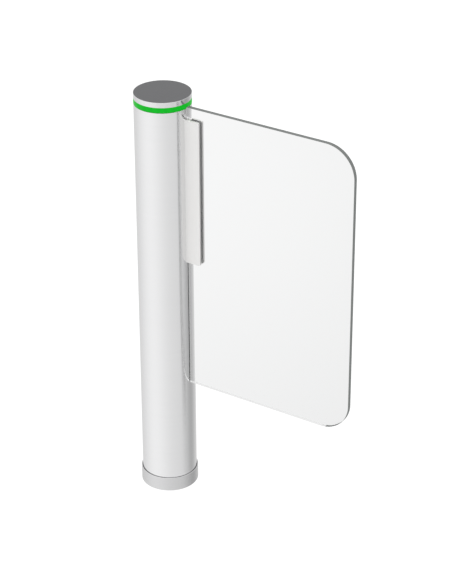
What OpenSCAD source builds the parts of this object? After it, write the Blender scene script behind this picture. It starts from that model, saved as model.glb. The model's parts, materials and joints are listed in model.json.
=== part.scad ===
// Swing gate column: a glass leaf on a turning steel tube round a fixed mast, with its drive inside.
// The origin is on the column axis at the floor. +Z is up and +X runs along the closed leaf.

/* [Overall] */
// Height from the floor to the top of the cap
total_h = 1000; // [830:5:1200]
// Outside diameter of the turning tube
sleeve_d = 129; // [127:0.2:160]
// Wall of the turning tube
sleeve_wall = 2; // [1.5:0.1:3]
// Distance from the column axis to the outer edge of the glass
leaf_reach = 487; // [400:1:600]

/* [Glass leaf] */
// Thickness of the glass
glass_t = 10; // [8:0.5:12]
// Height of the bottom edge of the glass above the floor
glass_z0 = 285; // [230:1:320]
// Drop from the top of the cap to the top edge of the glass
glass_drop = 20; // [16:1:30]
// Radius of the two outer corners of the glass
glass_corner_r = 72; // [40:1:90]
// Gap between the glass edge and the tube
glass_gap = 1; // [0.8:0.1:2]

/* [Clamp] */
// Height of the clamp that holds the glass
clamp_h = 350; // [290:1:355]
// Drop from the top of the cap to the top of the clamp
clamp_drop = 48; // [46:1:60]
// How far the clamp reaches out from the tube
clamp_reach = 36.5; // [30:0.5:50]
// Thickness of each clamp plate
clamp_plate_t = 5; // [4:0.5:8]
// Radius of the outer corners of the clamp plates
clamp_corner_r = 5; // [2:0.5:10]
// How far the web between the plates reaches out from the tube
web_reach = 11; // [10:0.5:14]
// Thickness of the gasket on each face of the glass
gasket_t = 0.5; // [0.4:0.1:1]
// Gap above and below the web in the notch of the glass
notch_gap = 2.5; // [1.5:0.5:4]
// Thickness of the pad between the web and the edge of the notch
edge_pad_t = 1.5; // [1:0.5:3]

/* [Base] */
// Thickness of the floor flange
flange_t = 12; // [10:1:15]
// Circle on which the anchor holes lie
anchor_pcd = 92; // [88:0.5:94]
// Diameter of each anchor hole
anchor_hole_d = 11; // [9:0.5:12]
// Diameter of the cable hole in the flange
duct_d = 30; // [20:1:34]
// Height of the collar that covers the foot
collar_h = 35; // [34:1:50]
// Wall of the collar
collar_wall = 2; // [1.5:0.5:3]
// Radial gap between the collar and the turning tube
collar_gap = 1; // [0.8:0.1:1.5]
// Thickness of the seal between the flange and the collar
seal_d = 2.5; // [2:0.1:3]

/* [Mast] */
// Outside diameter of the fixed mast
mast_d = 42.4; // [34:0.1:44]
// Wall of the mast
mast_wall = 3.2; // [2.6:0.1:4]

/* [Bearings] */
// Bore of each ball bearing
bearing_bore = 50; // [50:1:50]
// Outside diameter of each ball bearing
bearing_od = 80; // [80:1:80]
// Width of each ball bearing
bearing_w = 16; // [14:1:18]
// Diameter of the balls
ball_d = 8.8; // [8:0.1:9]
// Number of balls in each bearing
ball_count = 13; // [10:1:14]
// Gap between a ball and its grooves
ball_clearance = 0.05; // [0.02:0.01:0.1]

/* [Drive] */
// Module of the ring gear and pinion
drive_module = 1.25; // [1.25:0.05:1.25]
// Teeth in the ring gear
ring_teeth = 80; // [80:16:80]
// Teeth on the drive pinion
pinion_teeth = 16; // [16:1:16]
// Width of the ring gear
ring_gear_w = 14; // [10:1:16]
// Outside diameter of the gear motor
motor_d = 36; // [35:0.5:36.5]
// Module of the gears in the gearhead
head_module = 0.7; // [0.7:0.1:0.7]
// Teeth on the sun gear
sun_teeth = 12; // [12:3:12]
// Teeth on each planet gear
planet_teeth = 15; // [15:3:15]
// Radial clearance of each shaft in its bush
shaft_clearance = 0.03; // [0.02:0.01:0.08]
// Width of the stop dog
stop_w = 18; // [14:1:20]

/* [Head] */
// Height of the light ring
light_h = 11.8; // [8:0.2:16]
// Height of the cap
cap_h = 11.7; // [10:0.1:16]
// Gap between the turning tube and the light ring
head_gap = 1; // [0.6:0.1:1.5]
// Number of lamps under the light ring
lamp_count = 24; // [12:4:36]

/* [Hidden] */
$fn = 96;

// Cuts run past the faces they open by this much
past = 1;

// Column
sleeve_r = sleeve_d / 2;
sleeve_in_r = sleeve_r - sleeve_wall;
mast_r = mast_d / 2;
mast_in_r = mast_r - mast_wall;
collar_in_r = sleeve_r + collar_gap;
collar_r = collar_in_r + collar_wall;
flange_fit = 0.5;
flange_r = collar_in_r - flange_fit;
anchor_count = 4;
sleeve_z0 = flange_t + 10;
cap_z0 = total_h - cap_h;
light_z0 = cap_z0 - light_h;
sleeve_z1 = light_z0 - head_gap;
mast_drop = 9.5;
mast_z1 = sleeve_z1 - mast_drop;
seal_groove_play = 0.25;
gusset_t = 6;
gusset_h = 24;
gusset_l = 20;
gusset_edge = 5;
gusset_top = 3;
weld_root = 3;
window_drop = 20;

// Earth stud beside the mast
earth_r = 3;
earth_z0 = 2;
earth_stud_h = 14;
earth_nut_r = 5.2;
earth_washer_t = 1.5;
earth_nut_t = 4.5;
earth_angle = 18;
earth_offset = 9.8;

// Bearings, each seated on a shouldered ring on the mast
bearing_in_r = bearing_bore / 2;
bearing_out_r = bearing_od / 2;
ball_pitch_r = (bearing_in_r + bearing_out_r) / 2;
groove_r = ball_d / 2 + ball_clearance;
race_gap = 2.3;
cage_wall = 2.2;
cage_h = 11.6;
pocket_r = ball_d / 2 + ball_clearance * 2;
shoulder_r = bearing_in_r + 3;
shoulder_h = 8;
circlip_t = 2;
circlip_groove_r = bearing_in_r - 1.5;
circlip_split_w = 8;
seat_tail = 3;
bearing_inset = 36;
low_bearing_z0 = flange_t + bearing_inset;
high_bearing_z0 = mast_z1 - bearing_inset;
bearing_zs = [low_bearing_z0, high_bearing_z0];

// Hubs that carry the tube on the bearings
hub_wall = 4;
hub_lip = 3;
hub_under = 4;
lip_t = 4;
high_hub_z0 = high_bearing_z0 - hub_under;
hub_screw_count = 4;
hub_screw_z = collar_h - 7;
hub_screw_r = 2;
hub_head_r = 3.9;
hub_head_t = 1.7;
head_sink = 0.3;

// Clamp and glass
clamp_z1 = total_h - clamp_drop;
clamp_z0 = clamp_z1 - clamp_h;
clamp_x1 = sleeve_r + clamp_reach;
web_x1 = sleeve_r + web_reach;
clamp_in_y = glass_t / 2 + gasket_t;
clamp_out_y = clamp_in_y + clamp_plate_t;
glass_x0 = sleeve_r + glass_gap;
glass_z1 = total_h - glass_drop;
notch_x = web_x1 + edge_pad_t;

// Backing bar inside the tube, and the bolts through it
ring_gear_z1 = clamp_z0 - 12;
ring_gear_z0 = ring_gear_z1 - ring_gear_w;
bar_t = 10.5;
bar_x0 = sleeve_in_r - bar_t;
bar_w = 30;
bar_z0 = ring_gear_z1;
bar_z1 = high_hub_z0 - 2;
bolt_count = 6;
bolt_r = 3;
bolt_head_r = 5;
bolt_head_t = 6;
bolt_play = 0.3;
bolt_z0 = clamp_z0 + 25;
bolt_step = (bar_z1 - 22 - bolt_z0) / (bolt_count - 1);
bolt_x1 = web_x1 - 1.5;
plate_screw_r = 2.5;
plate_screw_x = sleeve_r + 6;
plate_screw_head_r = 4.8;
plate_screw_head_t = 2.3;
plate_screw_grip = 4;
plate_screw_l = 2 * clamp_in_y + clamp_plate_t + plate_screw_grip;
clamp_root = 3;
gasket_inset = 0.5;

// Ring gear and pinion
drive_angle = 20;
backlash = 0.12;
short_tooth = 0.8;
root_depth = 1.25;
ring_pitch_r = ring_teeth * drive_module / 2;
pinion_pitch_r = pinion_teeth * drive_module / 2;
motor_x = -(ring_pitch_r - pinion_pitch_r);
motor_r = motor_d / 2;
dog_x0 = ring_pitch_r - 4;
dog_x1 = sleeve_in_r - 2;
dog_t = 10;
dog_z0 = ring_gear_z0 - dog_t;
gear_screw_x = sleeve_in_r - 5.5;
gear_screw_y = 5;
gear_screw_r = 2;
gear_screw_head_r = 3.3;
gear_screw_head_t = 4;
gear_screw_grip = 10;

// Bracket that carries the gear motor and the end stops
bracket_t = 8;
bracket_rim = 9;
motor_rim = 2;
arm_root = 5;
pilot_play = 0.2;
bracket_z1 = dog_z0 - 2;
bracket_z0 = bracket_z1 - bracket_t;
buffer_r = 4;
buffer_l = 6;
buffer_gap = 0.5;
buffer_y = ring_pitch_r + 1;
buffer_z = dog_z0 + buffer_r;
buffer_x1 = -stop_w / 2 - buffer_gap;
buffer_x0 = buffer_x1 - buffer_l;
stop_post_t = 6;
lug_x1 = 44;
lug_y = 10;
split_w = 2;
clamp_screw_x = 37;
clamp_screw_r = 2.5;
clamp_screw_head_r = 4.2;
clamp_screw_head_t = 4;

// Gearhead
gearhead_angle = 25;
head_backlash = 0.06;
sun_pitch_r = sun_teeth * head_module / 2;
planet_pitch_r = planet_teeth * head_module / 2;
annulus_teeth = sun_teeth + 2 * planet_teeth;
carrier_r = sun_pitch_r + planet_pitch_r;
planet_angles = [0, 120, 240];
gearhead_z1 = bracket_z0;
gearhead_z0 = gearhead_z1 - 56;
planet_w = 12;
planet_z0 = gearhead_z0 + 11;
annulus_z0 = gearhead_z0 + 10;
annulus_z1 = annulus_z0 + 16;
cavity_r = 15.8;
cavity_z1 = gearhead_z0 + 40;
carrier_z0 = planet_z0 + planet_w + 2;
carrier_t = 6;
carrier_disc_r = 13;
planet_pin_r = 2;
out_shaft_r = 4;
bush_r = 7;
pilot_r = 9;
pilot_h = 4;
pinion_z0 = ring_gear_z0 - 2;
pinion_z1 = ring_gear_z1 + 2;
pinion_hub_r = 8;
pinion_hub_h = 6;
grub_r = 1.5;
grub_sink = 0.5;
flange_screw_r = 1.5;
flange_screw_head_r = 2.75;
flange_screw_head_t = 3;
flange_screw_grip = 8;
flange_screw_pitch_r = 14;

// Motor
rotor_shaft_r = 2.5;
motor_wall = 1.5;
motor_in_r = motor_r - motor_wall;
motor_z1 = gearhead_z0;
motor_z0 = motor_z1 - 80;
motor_face_t = 4;
motor_bush_r = 5;
stator_in_r = 10.2;
rotor_gap = 0.4;
magnet_inset = 2;
stator_z0 = motor_z0 + 21;
stator_h = 48;
slot_count = 9;
slot_r = 1.6;
brake_coil_h = 10;
brake_gap = 0.4;
brake_disc_r = 13;
brake_disc_t = 4;
end_cap_h = 32;
end_cap_t = 2;
encoder_z0 = motor_z0 - 22;
encoder_t = 1.6;
rotor_z0 = encoder_z0 + encoder_t + 2.4;

// Control board on its bracket
board_h = 186;
board_w = 56;
board_t = 1.6;
board_plate_x = 34;
board_plate_t = 2;
standoff_l = 5;
standoff_r = 3;
board_x0 = board_plate_x + board_plate_t + standoff_l;
board_face_x = board_x0 + board_t;
board_z1 = bracket_z0 - 18;
board_z0 = board_z1 - board_h;
board_inset = 5;
board_screw_r = 1.5;
board_screw_head_r = 2.75;
board_screw_head_t = 2.4;
arm_t = 6;
arm_w = 20;
arm_inset = 15;
window_r = 8;

// Head
plug_r = sleeve_in_r - head_gap;
plug_boss_h = 20;
plug_bore_r = 6;
plug_post_r = 20;
seal_groove_r = plug_r - 2.5;
top_seal_h = 4;
top_seal_z0 = mast_z1 + 3;
top_seal_gap = 0.3;
light_in_r = sleeve_r - 15;
lamp_board_r = light_in_r - 2;
lamp_board_in_r = 24;
lamp_board_t = 1.6;
lamp = 3;
lamp_t = 2;
lamp_inset = 0.5;
cap_wall = 0.8;
inlay_t = 1.2;
inlay_sink = 0.2;
inlay_fit = 0.2;
cap_plate_t = 3;
cap_seat_w = 4.5;
cap_edge = 0.5;
cap_floor_z = total_h - inlay_t - inlay_sink;
cap_screw_r = 2;
cap_screw_head_r = 3.9;
cap_screw_head_t = 2;
cap_screw_pitch_r = 13;
cap_screw_tip = cap_z0 - 8;
head_screw_r = 2.5;
head_screw_head_r = 4.2;
head_screw_head_t = 3;
head_screw_x0 = plug_bore_r + 4;
head_screw_z = mast_z1 - 7.5;

// ---------- shared shapes ----------

// A tube about Z between two heights
module ring(r_in, r_out, z0, z1) {
    translate([0, 0, z0]) linear_extrude(z1 - z0) difference() {
        circle(r = r_out);
        circle(r = r_in);
    }
}

// A disc about Z between two heights
module disc(r, z0, z1) {
    translate([0, 0, z0]) cylinder(r = r, h = z1 - z0);
}

// A rod along +X from x0 to x1, at height z
module rod_x(r, x0, x1, z = 0) {
    translate([x0, 0, z]) rotate([0, 90, 0]) cylinder(r = r, h = x1 - x0);
}

// Puts its children on the gear motor's axis
module on_motor_axis() {
    translate([motor_x, 0, 0]) children();
}

// Involute function of an angle, in degrees
function involute(a) = tan(a) * 180 / PI - a;

// Half the angle that a tooth spans at radius r, with backlash taken off at the pitch circle
function tooth_half(teeth, m, pressure, r, thin) =
    let (rp = teeth * m / 2, rb = rp * cos(pressure))
    90 / teeth - thin / 2 / rp * 180 / PI + involute(pressure) - involute(acos(min(1, rb / r)));

// Outline of a toothed wheel whose teeth run from radius lo to radius hi
function gear_outline(teeth, m, pressure, lo, hi, thin, steps = 4) = [
    for (i = [0 : teeth - 1], side = [-1, 1], k = [0 : steps])
        let (
            t = side < 0 ? k : steps - k,
            r = lo + (hi - lo) * t / steps,
            a = i * 360 / teeth + side * tooth_half(teeth, m, pressure, r, thin)
        ) [r * cos(a), r * sin(a)]
];

// Flat outline of a wheel with outside teeth
module outer_teeth(teeth, m, pressure, thin) {
    rp = teeth * m / 2;
    polygon(gear_outline(teeth, m, pressure, rp - root_depth * m, rp + m, thin));
}

// Flat outline of the hole in a wheel with inside teeth
module inner_teeth(teeth, m, pressure, thin) {
    rp = teeth * m / 2;
    polygon(gear_outline(teeth, m, pressure, rp - short_tooth * m, rp + root_depth * m, -thin));
}

// ---------- foot and mast ----------

module floor_flange() {
    color("dimgray") difference() {
        rotate_extrude() difference() {
            translate([duct_d / 2, 0]) square([flange_r - duct_d / 2, flange_t]);
            translate([collar_in_r - seal_d, (flange_t - seal_d) / 2 - seal_groove_play])
                square([seal_d, seal_d + 2 * seal_groove_play]);
        }
        for (i = [0 : anchor_count - 1]) rotate((i + 0.5) * 360 / anchor_count)
            translate([anchor_pcd / 2, 0, -past]) cylinder(d = anchor_hole_d, h = flange_t + 2 * past);
        at_earth_stud() disc(earth_r, earth_z0, flange_t + past);
    }
}

module at_earth_stud() {
    rotate(earth_angle) translate([mast_r + earth_offset, 0, 0]) children();
}

module earth_stud() {
    nut_z = flange_t + earth_washer_t;
    color("goldenrod") at_earth_stud() {
        disc(earth_r, earth_z0, flange_t + earth_stud_h);
        ring(earth_r, earth_nut_r, flange_t, nut_z);
        ring_nut(earth_r, earth_nut_r, nut_z, nut_z + earth_nut_t);
    }
}

// A hexagon nut about Z
module ring_nut(r_in, r_out, z0, z1) {
    translate([0, 0, z0]) linear_extrude(z1 - z0) difference() {
        circle(r = r_out, $fn = 6);
        circle(r = r_in);
    }
}

module mast_tube() {
    color("slategray") difference() {
        ring(mast_in_r, mast_r, flange_t, mast_z1);
        rod_x(window_r, 0, mast_r + past, (board_z0 + board_z1) / 2);
        rotate(180) rod_x(window_r, 0, mast_r + past, motor_z0 - end_cap_h - window_drop);
        head_screw_holes(head_screw_r);
    }
}

module mast_gussets() {
    root = mast_r - weld_root;
    foot = mast_r + gusset_l;
    color("slategray") for (a = [0 : 90 : 270]) rotate(a) difference() {
        translate([0, gusset_t / 2, flange_t]) rotate([90, 0, 0]) linear_extrude(gusset_t)
            polygon([
                [root, 0], [foot, 0], [foot, gusset_edge], [mast_r + gusset_top, gusset_h],
                [root, gusset_h]
            ]);
        disc(mast_r, 0, flange_t + gusset_h + past);
    }
}

module base_collar() {
    lip = 0.8;
    color("silver") rotate_extrude() polygon([
        [collar_in_r, 0], [collar_r, 0], [collar_r, collar_h - lip],
        [collar_r - lip, collar_h], [collar_in_r, collar_h]
    ]);
}

module collar_seal() {
    color("black") rotate_extrude()
        translate([collar_in_r - seal_d / 2, flange_t / 2]) circle(d = seal_d);
}

// ---------- bearings ----------

module bearing_seats() {
    color("lightsteelblue") for (z = bearing_zs) translate([0, 0, z]) rotate_extrude() difference() {
        union() {
            translate([mast_r, -shoulder_h]) square([shoulder_r - mast_r, shoulder_h]);
            translate([mast_r, 0])
                square([bearing_in_r - mast_r, bearing_w + circlip_t + seat_tail]);
        }
        translate([circlip_groove_r, bearing_w]) square([shoulder_r, circlip_t]);
    }
}

module bearing_circlips() {
    color("dimgray") for (z = bearing_zs) difference() {
        ring(circlip_groove_r, shoulder_r, z + bearing_w, z + bearing_w + circlip_t);
        translate([0, -circlip_split_w / 2, z]) cube([shoulder_r + past, circlip_split_w, bearing_w * 2]);
    }
}

// One race between two radii, with the ball groove cut in it
module race(r_in, r_out) {
    color("lightgray") for (z = bearing_zs) translate([0, 0, z]) rotate_extrude() difference() {
        translate([r_in, 0]) square([r_out - r_in, bearing_w]);
        translate([ball_pitch_r, bearing_w / 2]) circle(r = groove_r);
    }
}

module bearing_inner_rings() {
    race(bearing_in_r, ball_pitch_r - race_gap);
}

module bearing_outer_rings() {
    race(ball_pitch_r + race_gap, bearing_out_r);
}

// Places its child at every ball
module at_balls() {
    for (z = bearing_zs, i = [0 : ball_count - 1])
        rotate(i * 360 / ball_count) translate([ball_pitch_r, 0, z + bearing_w / 2]) children();
}

module bearing_balls() {
    color("white") at_balls() sphere(d = ball_d);
}

module bearing_cages() {
    color("peru") difference() {
        for (z = bearing_zs)
            ring(ball_pitch_r - cage_wall / 2, ball_pitch_r + cage_wall / 2,
                 z + (bearing_w - cage_h) / 2, z + (bearing_w + cage_h) / 2);
        at_balls() sphere(r = pocket_r);
    }
}

// ---------- hubs and turning tube ----------

// Puts its child at every screw that holds the tube on the lower hub
module at_hub_screws() {
    for (i = [0 : hub_screw_count - 1]) rotate((i + 0.5) * 360 / hub_screw_count)
        translate([0, 0, hub_screw_z]) children();
}

// Countersunk screw along +X whose head lies in the wall of the tube
module hub_screw_shape(extra) {
    head_x1 = sleeve_r - head_sink;
    translate([head_x1 - hub_head_t, 0, 0]) rotate([0, 90, 0])
        cylinder(r1 = hub_screw_r, r2 = hub_head_r, h = hub_head_t);
    if (extra > 0) rod_x(hub_head_r, head_x1, head_x1 + extra);
    rod_x(hub_screw_r, sleeve_in_r - hub_wall, head_x1 - hub_head_t);
}

module hub_screws() {
    color("gray") at_hub_screws() hub_screw_shape(0);
}

module lower_hub() {
    web_z0 = low_bearing_z0 - hub_under;
    web_z1 = low_bearing_z0 + bearing_w + lip_t;
    skirt_r = sleeve_in_r - hub_wall;
    color("darkgray") difference() {
        rotate_extrude() polygon([
            [skirt_r, sleeve_z0], [sleeve_in_r, sleeve_z0], [sleeve_in_r, web_z1],
            [bearing_out_r - hub_lip, web_z1], [bearing_out_r - hub_lip, low_bearing_z0 + bearing_w],
            [bearing_out_r, low_bearing_z0 + bearing_w], [bearing_out_r, web_z0], [skirt_r, web_z0]
        ]);
        at_hub_screws() rod_x(hub_screw_r, skirt_r - past, sleeve_in_r + past);
    }
}

module upper_hub() {
    color("darkgray") ring(bearing_out_r, sleeve_in_r, high_hub_z0, high_bearing_z0 + bearing_w);
}

module sleeve_tube() {
    color("gainsboro") difference() {
        ring(sleeve_in_r, sleeve_r, sleeve_z0, sleeve_z1);
        at_hub_screws() hub_screw_shape(2);
        at_bolts() rod_x(bolt_r + bolt_play, sleeve_in_r - past, sleeve_r + past);
    }
}

// ---------- drive on the turning tube ----------

module ring_gear() {
    color("goldenrod") difference() {
        translate([0, 0, ring_gear_z0]) linear_extrude(ring_gear_w) difference() {
            circle(r = sleeve_in_r);
            inner_teeth(ring_teeth, drive_module, drive_angle, backlash);
        }
        at_gear_screws() disc(gear_screw_r, ring_gear_z0 - past, ring_gear_z1 + past);
    }
}

module at_gear_screws() {
    for (s = [-1, 1]) translate([gear_screw_x, s * gear_screw_y, 0]) children();
}

module stop_dog() {
    color("dimgray") difference() {
        translate([dog_x0, -stop_w / 2, dog_z0]) cube([dog_x1 - dog_x0, stop_w, dog_t]);
        at_gear_screws() {
            disc(gear_screw_head_r, dog_z0 - past, dog_z0 + gear_screw_head_t);
            disc(gear_screw_r, dog_z0, ring_gear_z0 + past);
        }
    }
}

module ring_gear_screws() {
    color("gray") at_gear_screws() {
        disc(gear_screw_head_r, dog_z0, dog_z0 + gear_screw_head_t);
        disc(gear_screw_r, dog_z0 + gear_screw_head_t, bar_z0 + gear_screw_grip);
    }
}

// Puts its child at every bolt through the bar and the tube
module at_bolts() {
    for (i = [0 : bolt_count - 1]) translate([0, 0, bolt_z0 + i * bolt_step]) children();
}

module backing_bar() {
    color("darkgray") difference() {
        translate([0, 0, bar_z0]) linear_extrude(bar_z1 - bar_z0) intersection() {
            circle(r = sleeve_in_r);
            translate([bar_x0, -bar_w / 2]) square([bar_t + past, bar_w]);
        }
        at_bolts() {
            rod_x(bolt_head_r + bolt_play, bar_x0 - past, bar_x0 + bolt_head_t);
            rod_x(bolt_r + bolt_play, bar_x0, sleeve_in_r + past);
        }
        at_gear_screws() disc(gear_screw_r, bar_z0 - past, bar_z0 + gear_screw_grip);
    }
}

module clamp_bolts() {
    color("gray") at_bolts() {
        rod_x(bolt_head_r, bar_x0, bar_x0 + bolt_head_t);
        rod_x(bolt_r, bar_x0 + bolt_head_t, bolt_x1);
    }
}

// ---------- clamp and glass ----------

// Extrudes a flat outline in X and Z over a span in Y
module along_y(y0, y1) {
    translate([0, y1, 0]) rotate([90, 0, 0]) linear_extrude(y1 - y0) children();
}

// Rectangle from (x0, z0) to (x1, z1) whose two outer corners are round
module round_end(x0, x1, z0, z1, r) {
    translate([x0, z0]) square([x1 - x0 - r, z1 - z0]);
    translate([x0, z0 + r]) square([x1 - x0, z1 - z0 - 2 * r]);
    for (z = [z0 + r, z1 - r]) translate([x1 - r, z]) circle(r = r);
}

module clamp_outline() {
    round_end(sleeve_r - clamp_root, clamp_x1, clamp_z0, clamp_z1, clamp_corner_r);
}

// Puts its child, which points along -Y, at every screw through the clamp
module at_plate_screws() {
    for (i = [0 : bolt_count - 1])
        translate([plate_screw_x, clamp_out_y, bolt_z0 + (i + 0.5) * bolt_step])
            rotate([90, 0, 0]) children();
}

// Countersunk head along +Z, with the cut above it if one is given
module plate_screw_head(extra) {
    cylinder(r1 = plate_screw_head_r, r2 = plate_screw_r, h = plate_screw_head_t);
    if (extra > 0) translate([0, 0, -extra]) cylinder(r = plate_screw_head_r, h = extra);
}

module clamp_screws() {
    color("gray") at_plate_screws() {
        plate_screw_head(0);
        disc(plate_screw_r, plate_screw_head_t, plate_screw_l);
    }
}

module clamp_body() {
    color("whitesmoke") difference() {
        union() {
            along_y(clamp_in_y, clamp_out_y) clamp_outline();
            along_y(-clamp_in_y, clamp_in_y)
                translate([sleeve_r - clamp_root, clamp_z0]) square([web_reach + clamp_root, clamp_h]);
        }
        disc(sleeve_r, clamp_z0 - past, clamp_z1 + past);
        at_bolts() rod_x(bolt_r, sleeve_r - clamp_root, bolt_x1);
        at_plate_screws() {
            plate_screw_head(past);
            cylinder(r = plate_screw_r, h = plate_screw_l);
        }
    }
}

module clamp_front_plate() {
    color("whitesmoke") difference() {
        along_y(-clamp_out_y, -clamp_in_y) clamp_outline();
        disc(sleeve_r, clamp_z0 - past, clamp_z1 + past);
        at_plate_screws() cylinder(r = plate_screw_r, h = plate_screw_l);
    }
}

module clamp_gaskets() {
    z0 = clamp_z0 + gasket_inset;
    z1 = clamp_z1 - gasket_inset;
    color("black") {
        for (y = [-clamp_in_y, glass_t / 2])
            along_y(y, y + gasket_t) round_end(notch_x, clamp_x1 - gasket_inset, z0, z1, clamp_corner_r);
        along_y(-glass_t / 2, glass_t / 2)
            translate([web_x1, clamp_z0]) square([edge_pad_t, clamp_h]);
    }
}

module glass_leaf() {
    color("lightcyan", 0.35) along_y(-glass_t / 2, glass_t / 2) difference() {
        round_end(glass_x0, leaf_reach, glass_z0, glass_z1, glass_corner_r);
        translate([glass_x0 - past, clamp_z0 - notch_gap])
            square([notch_x - glass_x0 + past, clamp_h + 2 * notch_gap]);
    }
}

// ---------- motor bracket and stops ----------

module motor_bracket() {
    arm_y0 = mast_r - arm_root;
    arm_y1 = buffer_y + buffer_r;
    post_x0 = buffer_x0 - stop_post_t;
    color("darkslategray") difference() {
        union() {
            translate([0, 0, bracket_z0]) linear_extrude(bracket_t) difference() {
                union() {
                    circle(r = mast_r + bracket_rim);
                    translate([motor_x, 0]) circle(r = motor_r + motor_rim);
                    translate([0, -lug_y]) square([lug_x1, 2 * lug_y]);
                    for (s = [-1, 1]) mirror([0, s < 0 ? 1 : 0])
                        translate([post_x0, arm_y0]) square([buffer_x1 - post_x0, arm_y1 - arm_y0]);
                }
                circle(r = mast_r);
                translate([0, -split_w / 2]) square([lug_x1 + past, split_w]);
                translate([motor_x, 0]) circle(r = pilot_r + pilot_play);
            }
            for (s = [-1, 1]) mirror([0, s < 0 ? 1 : 0, 0])
                translate([post_x0, buffer_y - buffer_r, bracket_z0])
                    cube([stop_post_t, 2 * buffer_r, buffer_z + buffer_r - bracket_z0]);
        }
        at_flange_screws() disc(flange_screw_r, bracket_z0 - past, bracket_z1 + past);
        translate([clamp_screw_x, 0, (bracket_z0 + bracket_z1) / 2]) rotate([90, 0, 0])
            cylinder(r = clamp_screw_r, h = 3 * lug_y, center = true);
    }
}

module stop_buffers() {
    color("black") for (s = [-1, 1]) translate([0, s * buffer_y, 0])
        rod_x(buffer_r, buffer_x0, buffer_x1, buffer_z);
}

// ---------- gearhead ----------

module at_flange_screws() {
    on_motor_axis() for (a = [45 : 90 : 315]) rotate(a) translate([flange_screw_pitch_r, 0, 0]) children();
}

module bracket_screws() {
    color("gray") {
        translate([clamp_screw_x, 0, (bracket_z0 + bracket_z1) / 2]) rotate([90, 0, 0]) {
            translate([0, 0, lug_y]) cylinder(r = clamp_screw_head_r, h = clamp_screw_head_t);
            translate([0, 0, -lug_y]) cylinder(r = clamp_screw_r, h = 2 * lug_y);
        }
        at_flange_screws() {
            disc(flange_screw_head_r, bracket_z1, bracket_z1 + flange_screw_head_t);
            disc(flange_screw_r, gearhead_z1 - flange_screw_grip, bracket_z1);
        }
    }
}

module gearhead_housing() {
    color("gray") difference() {
        on_motor_axis() difference() {
            union() {
                disc(motor_r, gearhead_z0, gearhead_z1);
                disc(pilot_r, gearhead_z1, gearhead_z1 + pilot_h);
            }
            disc(cavity_r, gearhead_z0 - past, annulus_z0);
            translate([0, 0, annulus_z0 - past]) linear_extrude(annulus_z1 - annulus_z0 + 2 * past)
                inner_teeth(annulus_teeth, head_module, gearhead_angle, head_backlash);
            disc(cavity_r, annulus_z1, cavity_z1);
            disc(bush_r, cavity_z1 - past, gearhead_z1 + pilot_h + past);
        }
        at_flange_screws() disc(flange_screw_r, gearhead_z1 - flange_screw_grip, gearhead_z1 + past);
    }
}

module gearhead_bush() {
    color("peru") on_motor_axis()
        ring(out_shaft_r + shaft_clearance, bush_r, cavity_z1, gearhead_z1 + pilot_h);
}

module output_shaft() {
    color("silver") on_motor_axis() {
        disc(out_shaft_r, carrier_z0, pinion_z1);
        disc(carrier_disc_r, carrier_z0, carrier_z0 + carrier_t);
        for (a = planet_angles) rotate(a) translate([carrier_r, 0, 0])
            disc(planet_pin_r, planet_z0, carrier_z0);
    }
}

module drive_pinion() {
    color("goldenrod") on_motor_axis() difference() {
        union() {
            translate([0, 0, pinion_z0]) linear_extrude(pinion_z1 - pinion_z0)
                outer_teeth(pinion_teeth, drive_module, drive_angle, backlash);
            disc(pinion_hub_r, pinion_z0 - pinion_hub_h, pinion_z0);
        }
        disc(out_shaft_r, pinion_z0 - pinion_hub_h - past, pinion_z1 + past);
        rod_x(grub_r, 0, pinion_hub_r + past, pinion_z0 - pinion_hub_h / 2);
    }
}

module pinion_grub_screw() {
    color("dimgray") on_motor_axis() difference() {
        rod_x(grub_r, 0, pinion_hub_r - grub_sink, pinion_z0 - pinion_hub_h / 2);
        disc(out_shaft_r, pinion_z0 - pinion_hub_h - past, pinion_z0 + past);
    }
}

// One planet gear on its pin, with a tooth pointing outward
module planet_gear(a) {
    color("gold") on_motor_axis() rotate(a) translate([carrier_r, 0, planet_z0]) linear_extrude(planet_w)
        difference() {
            outer_teeth(planet_teeth, head_module, gearhead_angle, head_backlash);
            circle(r = planet_pin_r + shaft_clearance);
        }
}

module planet_gear_a() { planet_gear(planet_angles[0]); }
module planet_gear_b() { planet_gear(planet_angles[1]); }
module planet_gear_c() { planet_gear(planet_angles[2]); }

module sun_gear() {
    color("gold") on_motor_axis() translate([0, 0, planet_z0]) linear_extrude(planet_w) difference() {
        outer_teeth(sun_teeth, head_module, gearhead_angle, head_backlash);
        circle(r = rotor_shaft_r);
    }
}

// ---------- motor ----------

module rotor_shaft() {
    color("silver") on_motor_axis() disc(rotor_shaft_r, rotor_z0, planet_z0 + planet_w);
}

module rotor_magnet() {
    color("dimgray") on_motor_axis()
        ring(rotor_shaft_r, stator_in_r - rotor_gap, stator_z0 + magnet_inset,
             stator_z0 + stator_h - magnet_inset);
}

module brake_disc() {
    color("dimgray") on_motor_axis()
        ring(rotor_shaft_r, brake_disc_r, motor_z0 - brake_gap - brake_disc_t, motor_z0 - brake_gap);
}

module motor_housing() {
    color("dimgray") on_motor_axis() difference() {
        disc(motor_r, motor_z0, motor_z1);
        disc(motor_in_r, motor_z0 - past, motor_z1 - motor_face_t);
        disc(motor_bush_r, motor_z0, motor_z1 + past);
    }
}

module stator() {
    slot_at = (stator_in_r + motor_in_r) / 2;
    color("chocolate") on_motor_axis() difference() {
        ring(stator_in_r, motor_in_r, stator_z0, stator_z0 + stator_h);
        for (i = [0 : slot_count - 1]) rotate(i * 360 / slot_count)
            translate([slot_at, 0, 0]) disc(slot_r, stator_z0 - past, stator_z0 + stator_h + past);
    }
}

module motor_bushes() {
    color("peru") on_motor_axis() {
        ring(rotor_shaft_r + shaft_clearance, motor_bush_r, motor_z1 - motor_face_t, motor_z1);
        ring(rotor_shaft_r + shaft_clearance, motor_bush_r, motor_z0, motor_z0 + brake_coil_h);
    }
}

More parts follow.
